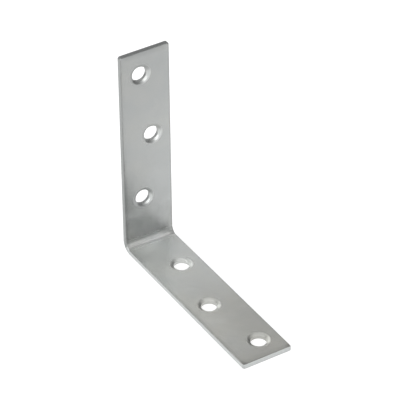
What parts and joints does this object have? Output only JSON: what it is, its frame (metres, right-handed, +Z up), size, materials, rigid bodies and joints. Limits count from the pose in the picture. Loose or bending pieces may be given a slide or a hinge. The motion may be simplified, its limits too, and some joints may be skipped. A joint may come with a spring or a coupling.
{
  "type": "angle bracket",
  "caption": "Steel strip folded once to a right angle, with a zigzag of countersunk screw holes in each equal leg, zinc plated.",
  "frame": {"origin": "the outer corner at mid width, where the plane under the base leg meets the plane behind the upright leg", "axes": "+X along the base leg to its free end, +Y across the strip, +Z up the upright leg to its free end"},
  "size_m": [0.0752, 0.018, 0.0752],
  "materials": {
    "zinc_plated_steel": "bright zinc plating on cold-rolled strip: satin sheen, faint rolling grain, slightly darker sheared edges"
  },
  "bodies": {
    "root": {"angle_bracket": "zinc_plated_steel"}
  },
  "joints": []
}
